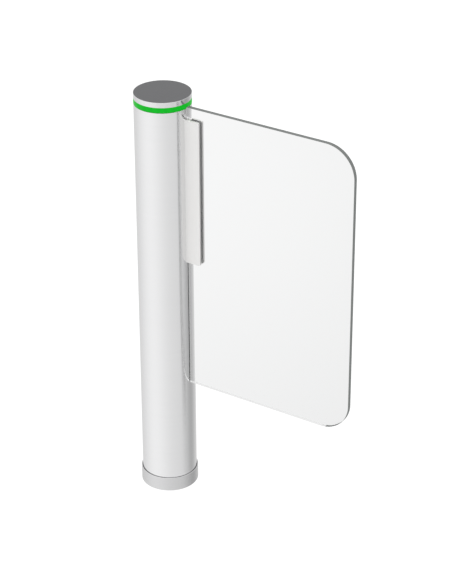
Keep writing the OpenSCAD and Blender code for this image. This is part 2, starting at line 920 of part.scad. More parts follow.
module brake_coil() {
    color("sienna") on_motor_axis() ring(motor_bush_r, motor_in_r, motor_z0, motor_z0 + brake_coil_h);
}

module motor_end_cap() {
    z0 = motor_z0 - end_cap_h;
    color("black") on_motor_axis() difference() {
        disc(motor_r, z0, motor_z0);
        disc(motor_in_r, z0 + end_cap_t, motor_z0 + past);
    }
}

module encoder_board() {
    color("green") on_motor_axis() disc(motor_in_r, encoder_z0, encoder_z0 + encoder_t);
}

// ---------- control board ----------

// Puts its child, which points along +X, at every board screw
module at_board_screws() {
    for (y = [-1, 1] * (board_w / 2 - board_inset), z = [board_z0 + board_inset, board_z1 - board_inset])
        translate([0, y, z]) children();
}

module board_bracket() {
    color("silver") difference() {
        union() {
            translate([board_plate_x, -board_w / 2, board_z0]) cube([board_plate_t, board_w, board_h]);
            for (z = [board_z0 + arm_inset, board_z1 - arm_inset - arm_t])
                translate([mast_r - weld_root, -arm_w / 2, z])
                    cube([board_plate_x - mast_r + weld_root, arm_w, arm_t]);
            at_board_screws() rod_x(standoff_r, board_plate_x + board_plate_t, board_x0);
        }
        disc(mast_r, board_z0 - past, board_z1 + past);
        at_board_screws() rod_x(board_screw_r, board_plate_x + board_plate_t, board_x0 + past);
    }
}

module control_board() {
    color("darkgreen") difference() {
        translate([board_x0, -board_w / 2, board_z0]) cube([board_t, board_w, board_h]);
        at_board_screws() rod_x(board_screw_r, board_x0 - past, board_face_x + past);
    }
}

module board_screws() {
    color("gray") at_board_screws() {
        rod_x(board_screw_r, board_plate_x + board_plate_t, board_face_x);
        rod_x(board_screw_head_r, board_face_x, board_face_x + board_screw_head_t);
    }
}

// A block on the board, centred at y, with its foot at height z above the board's foot
module component(y, z, width, height, thickness) {
    translate([board_face_x, y - width / 2, board_z0 + z]) cube([thickness, width, height]);
}

module board_components() {
    relay_pitch = 16;
    capacitor_y = 18;
    capacitor_r = 4;
    capacitor_h = 8;
    color("dimgray") {
        // Power module, processor and motor drive
        component(0, 18, 40, 34, 9);
        component(0, 70, 16, 16, 2);
        component(0, 98, 24, 14, 4);
        // Relays and terminal strip
        for (i = [-1 : 1]) component(i * relay_pitch, 122, 12, 16, 9);
        component(0, 150, 36, 9, 8);
        for (y = [-capacitor_y, capacitor_y]) translate([0, y, 0])
            rod_x(capacitor_r, board_face_x, board_face_x + capacitor_h, board_z0 + 80);
    }
}

// ---------- head ----------

// Puts its child, which points along +X, at every screw that holds the head plug
module at_head_screws() {
    for (a = [60, 180, 300]) rotate(a) translate([0, 0, head_screw_z]) children();
}

module head_screw_holes(r) {
    at_head_screws() rod_x(r, head_screw_x0 - past, mast_r + past);
}

module head_screws() {
    color("gray") at_head_screws() {
        rod_x(head_screw_r, head_screw_x0, mast_r);
        rod_x(head_screw_head_r, mast_r, mast_r + head_screw_head_t);
    }
}

module at_cap_screws() {
    for (a = [0, 120, 240]) rotate(a) translate([cap_screw_pitch_r, 0, 0]) children();
}

// Countersunk screw whose head lies in the floor of the cap
module cap_screw_shape() {
    translate([0, 0, cap_floor_z - cap_screw_head_t])
        cylinder(r1 = cap_screw_r, r2 = cap_screw_head_r, h = cap_screw_head_t);
    disc(cap_screw_r, cap_screw_tip, cap_floor_z - cap_screw_head_t);
}

module head_plug() {
    color("darkgray") difference() {
        rotate_extrude() difference() {
            union() {
                translate([plug_bore_r, mast_z1 - plug_boss_h])
                    square([mast_in_r - plug_bore_r, plug_boss_h]);
                translate([plug_bore_r, mast_z1]) square([plug_r - plug_bore_r, light_z0 - mast_z1]);
                translate([plug_bore_r, light_z0]) square([plug_post_r - plug_bore_r, light_h]);
            }
            translate([seal_groove_r, top_seal_z0]) square([plug_r, top_seal_h]);
        }
        head_screw_holes(head_screw_r);
        at_cap_screws() disc(cap_screw_r, cap_screw_tip, cap_z0 + past);
    }
}

module top_seal() {
    color("black") ring(seal_groove_r, sleeve_in_r - top_seal_gap, top_seal_z0, top_seal_z0 + top_seal_h);
}

module led_board() {
    color("darkgreen") ring(lamp_board_in_r, lamp_board_r, light_z0, light_z0 + lamp_board_t);
}

module leds() {
    color("lime") for (i = [0 : lamp_count - 1]) rotate(i * 360 / lamp_count)
        translate([lamp_board_r - lamp - lamp_inset, -lamp / 2, light_z0 + lamp_board_t])
            cube([lamp, lamp, lamp_t]);
}

module led_ring() {
    color("limegreen") ring(light_in_r, sleeve_r, light_z0, cap_z0);
}

module top_cap() {
    color("silver") difference() {
        rotate_extrude() difference() {
            polygon([
                [0, cap_z0], [sleeve_r, cap_z0], [sleeve_r, total_h - cap_edge],
                [sleeve_r - cap_edge, total_h], [sleeve_r - cap_wall, total_h],
                [sleeve_r - cap_wall, cap_floor_z], [0, cap_floor_z]
            ]);
            translate([lamp_board_in_r, cap_z0 - past])
                square([sleeve_r - cap_seat_w - lamp_board_in_r,
                        cap_floor_z - cap_plate_t - cap_z0 + past]);
        }
        at_cap_screws() cap_screw_shape();
    }
}

module cap_inlay() {
    color("dimgray") disc(sleeve_r - cap_wall - inlay_fit, cap_floor_z, cap_floor_z + inlay_t);
}

module cap_screws() {
    color("gray") at_cap_screws() cap_screw_shape();
}

// ---------- drawing ----------

floor_flange();
mast_tube();
mast_gussets();
earth_stud();
base_collar();
collar_seal();
bearing_seats();
bearing_inner_rings();
bearing_circlips();
bearing_cages();
bearing_balls();
bearing_outer_rings();
lower_hub();
upper_hub();
hub_screws();
sleeve_tube();
ring_gear();
stop_dog();
ring_gear_screws();
backing_bar();
clamp_bolts();
clamp_body();
clamp_front_plate();
clamp_gaskets();
clamp_screws();
glass_leaf();
motor_bracket();
bracket_screws();
stop_buffers();
gearhead_housing();
gearhead_bush();
output_shaft();
drive_pinion();
pinion_grub_screw();
planet_gear_a();
planet_gear_b();
planet_gear_c();
sun_gear();
rotor_shaft();
rotor_magnet();
brake_disc();
motor_housing();
stator();
motor_bushes();
brake_coil();
motor_end_cap();
encoder_board();
board_bracket();
control_board();
board_components();
board_screws();
head_plug();
head_screws();
top_seal();
led_board();
leds();
led_ring();
top_cap();
cap_screws();
cap_inlay();
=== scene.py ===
"""Swing gate column: meshes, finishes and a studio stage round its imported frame."""

import json
import math

import bmesh
import bpy
from bpy.props import FloatProperty, FloatVectorProperty, IntProperty, PointerProperty
from mathutils import Matrix, Vector

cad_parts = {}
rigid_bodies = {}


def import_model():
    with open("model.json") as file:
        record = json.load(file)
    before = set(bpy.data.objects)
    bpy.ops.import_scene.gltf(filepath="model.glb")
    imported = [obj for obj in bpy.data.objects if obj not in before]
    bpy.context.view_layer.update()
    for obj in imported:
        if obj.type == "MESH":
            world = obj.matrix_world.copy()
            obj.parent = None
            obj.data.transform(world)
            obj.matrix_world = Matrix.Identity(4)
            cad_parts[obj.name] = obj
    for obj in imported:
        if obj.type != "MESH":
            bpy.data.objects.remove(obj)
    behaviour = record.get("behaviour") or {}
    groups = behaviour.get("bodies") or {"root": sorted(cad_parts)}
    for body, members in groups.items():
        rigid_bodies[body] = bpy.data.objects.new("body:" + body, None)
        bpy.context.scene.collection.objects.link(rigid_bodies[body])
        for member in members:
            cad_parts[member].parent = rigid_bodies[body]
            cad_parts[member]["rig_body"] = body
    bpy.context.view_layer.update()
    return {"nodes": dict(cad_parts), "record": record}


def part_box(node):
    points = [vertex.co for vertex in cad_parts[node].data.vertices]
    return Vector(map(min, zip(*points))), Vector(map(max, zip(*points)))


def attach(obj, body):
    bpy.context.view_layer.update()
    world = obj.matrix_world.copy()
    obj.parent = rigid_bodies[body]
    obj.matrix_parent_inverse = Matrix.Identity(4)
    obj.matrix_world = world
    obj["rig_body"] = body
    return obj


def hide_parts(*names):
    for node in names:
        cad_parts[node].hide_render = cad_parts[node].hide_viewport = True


bl_info = {
    "name": "Swing Gate Column",
    "version": (1, 0, 0),
    "blender": (4, 5, 0),
    "location": "3D View > Sidebar > Gate Column",
    "description": "Detailed meshes, finishes and a studio stage for a swing gate column",
    "category": "Add Mesh",
}

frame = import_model()
SLOTS = {part["node"]: part["material_slot"] for part in frame["record"]["subparts"]}

MM = 0.001
PAD = 1.5 * MM
COLUMN_TURNS = 256
SMALL_TURNS = 48
HEAVY = 20000
SHARP = math.radians(32)


# ---------- shader maths ----------


class Socket:
    """An output of a shader node. Arithmetic on it adds the Math nodes that work it out."""

    def __init__(self, nodes, output):
        self.nodes = nodes
        self.output = output

    def other(self, name):
        """Another output of the same node."""
        return Socket(self.nodes, self.output.node.outputs[name])

    def math(self, operation, *values):
        """A Math node on some values and links."""
        return self.nodes.add("Math", {"operation": operation}, dict(enumerate(values)))

    def __add__(self, value):
        return self.math("ADD", self, value)

    __radd__ = __add__

    def __sub__(self, value):
        return self.math("SUBTRACT", self, value)

    def __rsub__(self, value):
        return self.math("SUBTRACT", value, self)

    def __mul__(self, value):
        return self.math("MULTIPLY", self, value)

    __rmul__ = __mul__

    def __pow__(self, value):
        return self.math("POWER", self, value)

    def __gt__(self, value):
        return self.math("GREATER_THAN", self, value)

    def __lt__(self, value):
        return self.math("LESS_THAN", self, value)

    def __abs__(self):
        return self.math("ABSOLUTE", self)

    def sine(self):
        return self.math("SINE", self)

    def between(self, low, high):
        """0 below low, 1 above high, and even in between."""
        inputs = {"Value": self, "From Min": low, "From Max": high}
        return self.nodes.add("MapRange", {"clamp": True}, inputs)


class Nodes:
    """A node tree as it is built."""

    def __init__(self, tree):
        self.tree = tree
        self.tree.nodes.clear()

    def add(self, kind, settings=None, inputs=None, output=0):
        """Adds a node: its settings first, then a value or a link for each of its sockets."""
        node = self.tree.nodes.new("ShaderNode" + kind)
        for name, value in (settings or {}).items():
            setattr(node, name, value)
        for name, value in (inputs or {}).items():
            if isinstance(value, Socket):
                self.tree.links.new(value.output, node.inputs[name])
            else:
                node.inputs[name].default_value = value
        return Socket(self, node.outputs[output]) if node.outputs else None

    def split(self, vector):
        """The X of a vector. Its Y and Z are the node's other outputs."""
        return self.add("SeparateXYZ", inputs={"Vector": vector})

    def mix(self, mask, first, second):
        """One colour where the mask is 0 and the other where it is 1."""
        inputs = {0: mask, 6: rgba(first), 7: rgba(second)}
        return self.add("Mix", {"data_type": "RGBA"}, inputs, 2)


def rgba(colour):
    """A colour as a socket takes it, and a link as it is."""
    return colour if isinstance(colour, Socket) else (*colour[:3], 1.0)


def shaded(colour, share):
    """A colour made darker or lighter by a share."""
    return tuple(min(1.0, part * share) for part in colour[:3])


class Finish(Nodes):
    """A material on one Principled surface, with the patterns that vary over it."""

    def __init__(self, name, **constants):
        self.material = bpy.data.materials.new(name)
        self.material.use_nodes = True
        super().__init__(self.material.node_tree)
        self.surface = self.tree.nodes.new("ShaderNodeBsdfPrincipled")
        self.result = self.tree.nodes.new("ShaderNodeOutputMaterial")
        self.tree.links.new(self.surface.outputs[0], self.result.inputs["Surface"])
        self.place = self.add("TexCoord", output="Object")
        for socket, value in constants.items():
            self.set(socket.replace("_", " "), value)

    def set(self, socket, value):
        """Feeds one of the surface's sockets with a number, a colour or a link."""
        target = self.surface.inputs[socket]
        if isinstance(value, Socket):
            self.tree.links.new(value.output, target)
        else:
            target.default_value = rgba(value) if target.type == "RGBA" else value

    def noise(self, size, stretch=(1, 1, 1), detail=3.0):
        """Cloudy values from 0 to 1. A blot is about a size across, over the stretch along each axis."""
        scale = Vector(stretch) / size
        where = self.add("Mapping", inputs={"Vector": self.place, "Scale": scale})
        return self.add("TexNoise", inputs={"Vector": where, "Scale": 1.0, "Detail": detail})

    def cells(self, size, feature="F1", output="Distance"):
        """Values from a pattern of cells that are about a size across."""
        inputs = {"Vector": self.place, "Scale": 1.0 / size}
        return self.add("TexVoronoi", {"feature": feature}, inputs, output)

    def radius(self, centre=(0.0, 0.0)):
        """Distance from an upright axis."""
        x = self.split(self.place)
        y = x.other("Y")
        return ((x - centre[0]) ** 2.0 + (y - centre[1]) ** 2.0) ** 0.5

    def height(self):
        """Height above the floor."""
        return self.split(self.place).other("Z")

    def bump(self, heights, depth, strength=1.0):
        """Raises the surface by the heights times a depth."""
        inputs = {"Height": heights, "Distance": depth, "Strength": strength}
        self.set("Normal", self.add("Bump", inputs=inputs))

    def edges(self, width):
        """1 along the edges of the solid, and 0 away from them."""
        eased = self.add("Bevel", {"samples": 4}, {"Radius": width})
        true = self.add("NewGeometry", output="True Normal")
        along = self.add("VectorMath", {"operation": "DOT_PRODUCT"}, {0: eased, 1: true}, "Value")
        return (1.0 - along).between(0.02, 0.25)


# ---------- finishes ----------


def brushed(name, colour, rough=0.25, grain=0.4 * MM, lie=(1, 1, 80), anisotropic=0.7, turn=0.0):
    """Satin metal with fine scratches. The lie is how much narrower a scratch is along each axis."""
    finish = Finish(name, Metallic=1.0, Anisotropic=anisotropic, Anisotropic_Rotation=turn)
    longest = max(lie)
    scratches = finish.noise(grain * longest, lie, 4.0)
    streaks = finish.noise(6 * grain * longest, lie, 2.0)
    handled = finish.noise(0.09, detail=4.0).between(0.5, 0.75)
    finish.set("Base Color", finish.mix(
        scratches * 0.5 + streaks * 0.5, shaded(colour, 0.955), shaded(colour, 1.04)))
    finish.set("Roughness", rough + (scratches - 0.5) * 0.1 + handled * 0.03)
    finish.bump(scratches + streaks, 0.006 * MM, 0.35)
    return finish.material


def polished(name, colour, rough=0.08):
    """Bright ground metal with hairline scratches and faint marks."""
    finish = Finish(name, Metallic=1.0)
    hairs = finish.noise(4 * MM, (1, 1, 14), 5.0).between(0.35, 0.75)
    marks = finish.noise(12 * MM, detail=4.0).between(0.45, 0.8)
    finish.set("Base Color", finish.mix(marks, colour, shaded(colour, 0.9)))
    finish.set("Roughness", rough + hairs * 0.05 + marks * 0.05)
    finish.bump(hairs, 0.003 * MM, 0.2)
    return finish.material


def turned(name, colour, rough=0.32, centre=(0.0, 0.0), pitch=0.25 * MM):
    """Metal with lathe marks that ring an upright axis, and brighter worn edges."""
    finish = Finish(name, Metallic=1.0)
    rings = (finish.radius(centre) * (math.tau / pitch)).sine() * 0.5 + 0.5
    turns = (finish.height() * (math.tau / pitch)).sine() * 0.5 + 0.5
    film = finish.noise(9 * MM, detail=4.0)
    worn = finish.edges(0.35 * MM)
    dull = finish.mix(film.between(0.35, 0.7), shaded(colour, 0.84), colour)
    finish.set("Base Color", finish.mix(worn, dull, shaded(colour, 1.25)))
    finish.set("Roughness", rough + film * 0.12 - worn * 0.1)
    finish.bump(rings * turns, 0.008 * MM, 0.3)
    return finish.material


def zinc(name, colour, rough=0.38):
    """Plated steel with soft crystals, a warm and cold passivated tint and bright edges."""
    finish = Finish(name, Metallic=0.92)
    crystals = finish.cells(3.2 * MM, output="Color")
    tint = finish.noise(24 * MM, detail=3.0).between(0.35, 0.65)
    cold = (colour[0] * 0.93, colour[1] * 0.98, colour[2] * 1.08)
    warm = (colour[0] * 1.06, colour[1] * 1.01, colour[2] * 0.88)
    level = finish.split(crystals)
    plate = finish.mix(level * 0.5, finish.mix(tint, cold, warm), shaded(colour, 1.18))
    worn = finish.edges(0.4 * MM)
    finish.set("Base Color", finish.mix(worn, plate, shaded(colour, 1.4)))
    finish.set("Roughness", rough + level * 0.14 - worn * 0.08)
    finish.bump(finish.noise(0.9 * MM, detail=2.0), 0.01 * MM, 0.35)
    return finish.material


def coated(name, colour, rough=0.55, peel=0.7 * MM, depth=0.03 * MM):
    """Powder coat or moulded plastic: a fine orange peel, with faintly rubbed edges."""
    finish = Finish(name, Specular_IOR_Level=0.45)
    skin = finish.noise(peel, detail=2.0)
    dust = finish.noise(18 * MM, detail=4.0).between(0.5, 0.8)
    rubbed = finish.edges(0.3 * MM)
    dusty = tuple(part * 0.85 + 0.03 for part in colour[:3])
    bare = tuple(part * 0.8 + 0.08 for part in colour[:3])
    base = finish.mix(dust * 0.5, colour, dusty)
    finish.set("Base Color", finish.mix(rubbed * 0.6, base, bare))
    finish.set("Roughness", rough + skin * 0.12 - rubbed * 0.12)
    finish.bump(skin, depth, 0.5)
    return finish.material


def rubber(name, colour):
    """Matt rubber, or the pale tape that is painted light, with a chalky bloom and fine pits."""
    finish = Finish(name, Specular_IOR_Level=0.3)
    bloom = finish.noise(7 * MM, detail=5.0).between(0.45, 0.8)
    pits = finish.cells(0.5 * MM)
    finish.set("Base Color", finish.mix(bloom * 0.6, colour, tuple(part + 0.05 for part in colour[:3])))
    finish.set("Roughness", 0.72 + bloom * 0.15)
    finish.bump(pits, 0.02 * MM, 0.4)
    return finish.material


def blackened(name, colour):
    """Oil-blackened steel whose edges have worn back to bright metal."""
    finish = Finish(name, Metallic=0.85)
    oil = finish.noise(6 * MM, detail=5.0)
    worn = finish.edges(0.35 * MM)
    base = finish.mix(oil, shaded(colour, 0.7), shaded(colour, 1.35))
    finish.set("Base Color", finish.mix(worn, base, (0.42, 0.41, 0.40)))
    finish.set("Roughness", 0.42 + oil * 0.2 - worn * 0.12)
    finish.bump(oil, 0.01 * MM, 0.3)
    return finish.material


def wound(name, colour, centre, wire=0.5 * MM):
    """Enamelled copper wire laid in layers round an upright axis, with painted shade in the grooves between
    the wires and a painted highlight on their crowns.
    """
    finish = Finish(name, Metallic=1.0, Coat_Roughness=0.12, Coat_Weight=0.6)
    lays = (finish.height() * (math.tau / wire)).sine() * 0.5 + 0.5
    rings = (finish.radius(centre) * (math.tau / wire)).sine() * 0.5 + 0.5
    wire_relief_and_shade = lays * 0.5 + rings * 0.5
    # Painted shade and highlight: the colour follows the wire relief, dark in the grooves and light on the
    # crowns.
    finish.set("Base Color", finish.mix(wire_relief_and_shade, shaded(colour, 0.55), shaded(colour, 1.15)))
    finish.set("Roughness", 0.24 + finish.noise(5 * MM) * 0.2)
    finish.bump(wire_relief_and_shade, 0.12 * MM, 0.8)
    return finish.material


def circuit(name, colour):
    """Green solder mask with raised copper runs under it."""
    finish = Finish(name, Specular_IOR_Level=0.6, Coat_Weight=0.35, Coat_Roughness=0.15)
    runs = finish.cells(3.4 * MM, "DISTANCE_TO_EDGE").between(0.05, 0.11)
    weave = finish.noise(0.8 * MM, detail=1.0)
    finish.set("Base Color", finish.mix(runs, (0.06, 0.36, 0.13), shaded(colour, 0.85)))
    finish.set("Roughness", 0.32 + weave * 0.12)
    finish.bump(1.0 - runs, 0.035 * MM, 0.7)
    return finish.material


def disc_enamel(name, colour):
    """Dark semi-gloss enamel with a fine grain and wiping marks."""
    finish = Finish(name, Specular_IOR_Level=0.5)
    grain = finish.noise(0.6 * MM, detail=2.0)
    wiped = finish.noise(22 * MM, (1.0, 0.25, 1.0), 5.0).between(0.4, 0.75)
    finish.set("Base Color", finish.mix(grain * 0.35 + wiped * 0.25, colour, shaded(colour, 1.16)))
    finish.set("Roughness", 0.27 + wiped * 0.06 + grain * 0.04)
    finish.bump(grain, 0.004 * MM, 0.3)
    return finish.material


def lit_acrylic(name, colour, lamps):
    """Translucent ring lit from inside, a little brighter in front of each lamp."""
    finish = Finish(name, Specular_IOR_Level=0.12, Emission_Strength=1.0)
    x = finish.split(finish.place)
    angle = x.math("ARCTAN2", x.other("Y"), x)
    pools = (angle * float(lamps)).sine() * 0.5 + 0.5
    milk = finish.noise(6 * MM, detail=3.0)
    finish.set("Base Color", finish.mix(milk, shaded(colour, 0.12), shaded(colour, 0.2)))
    finish.set("Emission Color", finish.mix(pools * 0.6 + milk * 0.4, shaded(colour, 0.86), colour))
    finish.set("Roughness", 0.3 + milk * 0.1)
    finish.bump(milk, 0.01 * MM, 0.2)
    return finish.material


def lamp_lens(name, colour):
    """Moulded lamp that glows green through fine specks."""
    finish = Finish(name, Emission_Strength=0.6, Coat_Weight=0.3)
    speck = finish.cells(0.4 * MM)
    finish.set("Base Color", finish.mix(speck, colour, shaded(colour, 0.85)))
    finish.set("Emission Color", finish.mix(speck, (0.35, 0.95, 0.4), (0.2, 0.7, 0.25)))
    finish.set("Roughness", 0.25 + speck * 0.2)
    return finish.material


def clear_glass(name, tint, rough, wear, clear, pale=(1.0, 1.0, 1.0)):
    """Toughened glass that takes its tint in its depth. Smears or grinding roughen it by the wear. The pale
    base colour is swapped for a dark grey on the ground edges, as painted shade.
    """
    finish = Finish(name, Transmission_Weight=clear, IOR=1.2, Base_Color=pale)
    smears = finish.noise(0.05, (1.0, 1.0, 0.6), 5.0).between(0.5, 0.8)
    fine = finish.noise(0.7 * MM, detail=3.0)
    finish.set("Roughness", rough + (smears * 0.4 + fine * 0.6) * wear)
    finish.bump(fine, 0.002 * MM, min(1.0, wear * 4))
    depth = finish.tree.nodes.new("ShaderNodeVolumeAbsorption")
    depth.inputs["Color"].default_value = rgba(tint)
    depth.inputs["Density"].default_value = bpy.context.scene.gate_colours.glass_depth
    finish.tree.links.new(depth.outputs[0], finish.result.inputs["Volume"])
    return finish.material


# ---------- meshes ----------


def arc_corners(corners, steps=4):
    """An outline whose corners are rounded. Each corner is (across, up, radius)."""
    points = []
    for i, (x, y, radius) in enumerate(corners):
        here = Vector((x, y))
        if radius == 0:
            points.append(here)
            continue
        before = (Vector(corners[i - 1][:2]) - here).normalized()
        after = (Vector(corners[(i + 1) % len(corners)][:2]) - here).normalized()
        half = before.angle(after) / 2
        centre = here + (before + after).normalized() * radius / math.sin(half)
        start = here + before * radius / math.tan(half) - centre
        sweep = start.angle_signed(here + after * radius / math.tan(half) - centre)
        for k in range(steps + 1):
            points.append(centre + Matrix.Rotation(-sweep * k / steps, 2) @ start)
    return points


def lathe(outline, turns):
    """A solid turned about Z from (radius, height) points. A hexagon's is (half its width, height, 6)."""
    solid = bmesh.new()
    rings = []
    for r, z, *sides in outline:
        if r == 0:
            rings.append([solid.verts.new((0, 0, z))] * turns)
            continue
        ring = []
        for i in range(turns):
            angle = math.tau * i / turns
            reach = r
            if sides:
                flat = math.tau / sides[0]
                reach = r / math.cos(angle % flat - flat / 2)
            ring.append(solid.verts.new((reach * math.cos(angle), reach * math.sin(angle), z)))
        rings.append(ring)
    for lower, upper in zip(rings, rings[1:] + rings[:1]):
        for i in range(turns):
            j = (i + 1) % turns
            corners = list(dict.fromkeys((lower[i], lower[j], upper[j], upper[i])))
            if len(corners) > 2:
                solid.faces.new(corners)
    return solid


def inset(outline, depth):
    """An outline moved inwards by a depth."""
    moved = []
    for i, here in enumerate(outline):
        back = here - outline[i - 1]
        ahead = outline[(i + 1) % len(outline)] - here
        first = Vector((-back.y, back.x)).normalized()
        inward = (first + Vector((-ahead.y, ahead.x)).normalized()).normalized()
        moved.append(here + inward * depth / inward.dot(first))
    return moved


def slab(outline, y0, y1, arris, steps=3):
    """A plate from y0 to y1 with rounded arrises. Its outline is in X and Z, anticlockwise seen along +Y."""
    solid = bmesh.new()
    turns = [math.pi / 2 * k / steps for k in range(steps + 1)] if arris else [0.0]
    levels = [(y0 + arris * (1 - math.sin(t)), arris * (1 - math.cos(t))) for t in reversed(turns)]
    levels += [(y1 - arris * (1 - math.sin(t)), arris * (1 - math.cos(t))) for t in turns]
    layers = []
    for y, depth in levels:
        layers.append([solid.verts.new((p.x, y, p.y)) for p in inset(outline, depth)])
    for near, far in zip(layers, layers[1:]):
        for i in range(len(outline)):
            solid.faces.new((near[i - 1], far[i - 1], far[i], near[i]))
    solid.faces.new(layers[0])
    solid.faces.new(list(reversed(layers[-1])))
    return solid


def joined(solids):
    """One mesh that holds several solids."""
    whole = bmesh.new()
    for solid in solids:
        mesh = bpy.data.meshes.new("part")
        solid.to_mesh(mesh)
        solid.free()
        whole.from_mesh(mesh)
        bpy.data.meshes.remove(mesh)
    return whole


def thing_from(name, solid):
    """A new object in the scene from a solid, which it uses up."""
    mesh = bpy.data.meshes.new(name)
    solid.to_mesh(mesh)
    solid.free()
    thing = bpy.data.objects.new(name, mesh)
    bpy.context.scene.collection.objects.link(thing)
    return thing


def combine(thing, solid, operation="DIFFERENCE"):
    """Cuts a solid out of a thing, or joins it on."""
    tool = thing_from("tool", solid)
    change = thing.modifiers.new("combine", "BOOLEAN")
    change.operation = operation
    change.solver = "EXACT"
    change.object = tool
    graph = bpy.context.evaluated_depsgraph_get()
    result = bpy.data.meshes.new_from_object(thing.evaluated_get(graph))
    thing.modifiers.clear()
    thing.data = result
    bpy.data.objects.remove(tool)


def settle(thing, node, *finishes):
    """Makes a thing the piece that stands for a CAD node, with its finishes and body."""
    for finish in finishes:
        thing.data.materials.append(finish)
    thing.data.polygons.foreach_set("use_smooth", [True] * len(thing.data.polygons))
    thing.data.set_sharp_from_angle(angle=SHARP)
    normals = thing.modifiers.new("even_normals", "WEIGHTED_NORMAL")
    normals.keep_sharp = True
    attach(thing, frame["nodes"][node]["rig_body"])
    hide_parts(node)


def plate_outline(x0, x1, z0, z1, corner):
    """A rectangle whose two outer corners are round."""
    return arc_corners([(x0, z0, 0), (x1, z0, corner), (x1, z1, corner), (x0, z1, 0)], steps=8)


def island_points(node):
    """The points of each loose part of a CAD node."""
    solid = bmesh.new()
    solid.from_mesh(frame["nodes"][node].data)
    bmesh.ops.remove_doubles(solid, verts=solid.verts, dist=0.001 * MM)
    seen = set()
    parts = []
    for first in solid.verts:
        if first in seen:
            continue
        seen.add(first)
        reached = [first]
        for vert in reached:
            for edge in vert.link_edges:
                other = edge.other_vert(vert)
                if other not in seen:
                    seen.add(other)
                    reached.append(other)
        parts.append([vert.co.copy() for vert in reached])
    solid.free()
    return parts


def corners_of(points):
    """The lowest and highest corners of some points."""
    return (Vector([min(p[i] for p in points) for i in range(3)]),
            Vector([max(p[i] for p in points) for i in range(3)]))


# ---------- screws ----------


def outward(centre):
    """The level way from the column's axis to a point."""
    return Vector((centre.x, centre.y, 0)).normalized()


# The way that a screw's head faces, from the screw's centre and size
SCREW_WAYS = {
    "clamp_screws": lambda centre, size: Vector((0, 1, 0)),
    "clamp_bolts": lambda centre, size: Vector((-1, 0, 0)),
    "hub_screws": lambda centre, size: outward(centre),
    "head_screws": lambda centre, size: outward(centre),
    "cap_screws": lambda centre, size: Vector((0, 0, 1)),
    "ring_gear_screws": lambda centre, size: Vector((0, 0, -1)),
    "bracket_screws": lambda centre, size: Vector((0, -1, 0)) if size.y > size.z else Vector((0, 0, 1)),
    "board_screws": lambda centre, size: Vector((1, 0, 0)),
}


class Screw:
    """A screw measured from its CAD solid: a shank, and a countersunk or a round head."""

    def __init__(self, points, way):
        low, high = corners_of(points)
        centre = (low + high) / 2
        lengths = [(p - centre).dot(way) for p in points]
        widths = [((p - centre) - way * t).length for p, t in zip(points, lengths)]
        levels = sorted({round(t, 6) for t in lengths})

        def width_at(level):
            return max(r for t, r in zip(lengths, widths) if abs(t - level) < 0.01 * MM)

        self.way = way
        self.tip = centre + way * levels[0]
        self.length = levels[-1] - levels[0]
        self.shank_r = width_at(levels[0])
        self.head_r = max(widths)
        self.head_t = levels[-1] - levels[-2]
        self.countersunk = width_at(levels[-2]) < self.head_r - 0.1 * MM

    def place(self, solid):
        """Stands a solid that is built up +Z on the tip of the screw."""
        turn = self.way.to_track_quat("Z", "Y").to_matrix().to_4x4()
        bmesh.ops.transform(solid, matrix=Matrix.Translation(self.tip) @ turn, verts=solid.verts)
        return solid

    def solid(self):
        """The screw with its thread, its chamfers and a hexagon socket."""
        top, base = self.length, self.length - self.head_t
        shank, head = self.shank_r, self.head_r
        lead, pitch, root = shank * 0.25, shank * 0.32, shank * 0.86
        thread_top = min(base - shank, shank * 7)
        outline = [(0, 0), (shank * 0.8, 0), (shank, lead)]
        height = lead + pitch
        while height + pitch < thread_top:
            outline += [(shank, height), (root, height + pitch / 2)]
            height += pitch
        outline += [(shank, height), (shank, base)]
        if self.countersunk:
            outline += [(head - 0.1 * MM, top - 0.2 * MM), (head - 0.15 * MM, top)]
        else:
            chamfer = 0.12 * head
            outline += [(head - chamfer / 2, base), (head, base + chamfer / 2),
                        (head, top - chamfer), (head - chamfer, top)]
        flats = head * 0.42
        socket = top - min(self.head_t, 2.4 * MM) * 0.62
        outline += [(flats * 1.22, top), (flats, top - flats * 0.12, 6), (flats, socket, 6),
                    (0, socket - flats * 0.4)]
        return self.place(lathe(outline, SMALL_TURNS))

    def hole(self, play=0.05 * MM):
        """The cutter for the screw's hole and for the seat of its head."""
        top, base = self.length, self.length - self.head_t
        shank, head = self.shank_r + play, self.head_r + play
        below, past = -0.02 * MM, top + 1 * MM
        outline = [(0, below), (shank, below), (shank, base), (head, top), (head, past), (0, past)]
        if not self.countersunk:
            outline.insert(3, (head, base))
        return self.place(lathe(outline, SMALL_TURNS))


def screws_of(node):
    """Every screw of a CAD node."""
    screws = []
    for points in island_points(node):
        low, high = corners_of(points)
        screws.append(Screw(points, SCREW_WAYS[node]((low + high) / 2, high - low)))
    return screws


# ---------- settings ----------


